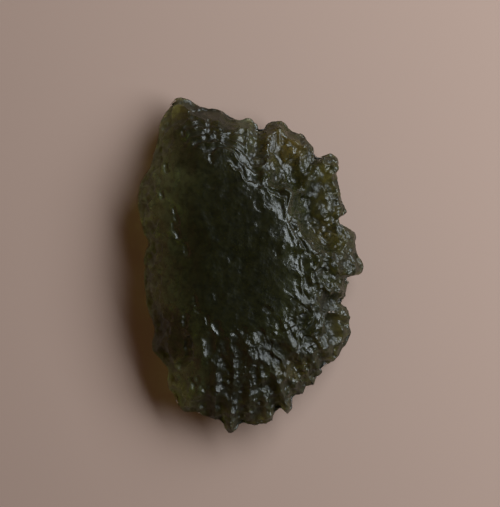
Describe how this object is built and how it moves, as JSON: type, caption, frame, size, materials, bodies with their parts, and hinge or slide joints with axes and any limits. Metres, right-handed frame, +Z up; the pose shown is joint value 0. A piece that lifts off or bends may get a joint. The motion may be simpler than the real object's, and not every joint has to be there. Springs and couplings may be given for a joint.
{
  "type": "moldavite",
  "caption": "Flat natural piece of bottle-green glass with a blunt tip, one thick round side and one thin ragged side, etched with furrows and bowls, on a small flat spot.",
  "frame": {"origin": "under the middle of the bounding box, on the surface that the stone rests on", "axes": "+Y along the stone's length towards its blunt tip, +X across it towards the thin ragged side, +Z up through its thickness"},
  "size_m": [0.0202, 0.03, 0.0065],
  "materials": {
    "natural_glass": "dark olive-green natural glass, see-through where thin, with a satin etched skin"
  },
  "bodies": {
    "root": {"moldavite": "natural_glass"}
  },
  "joints": []
}
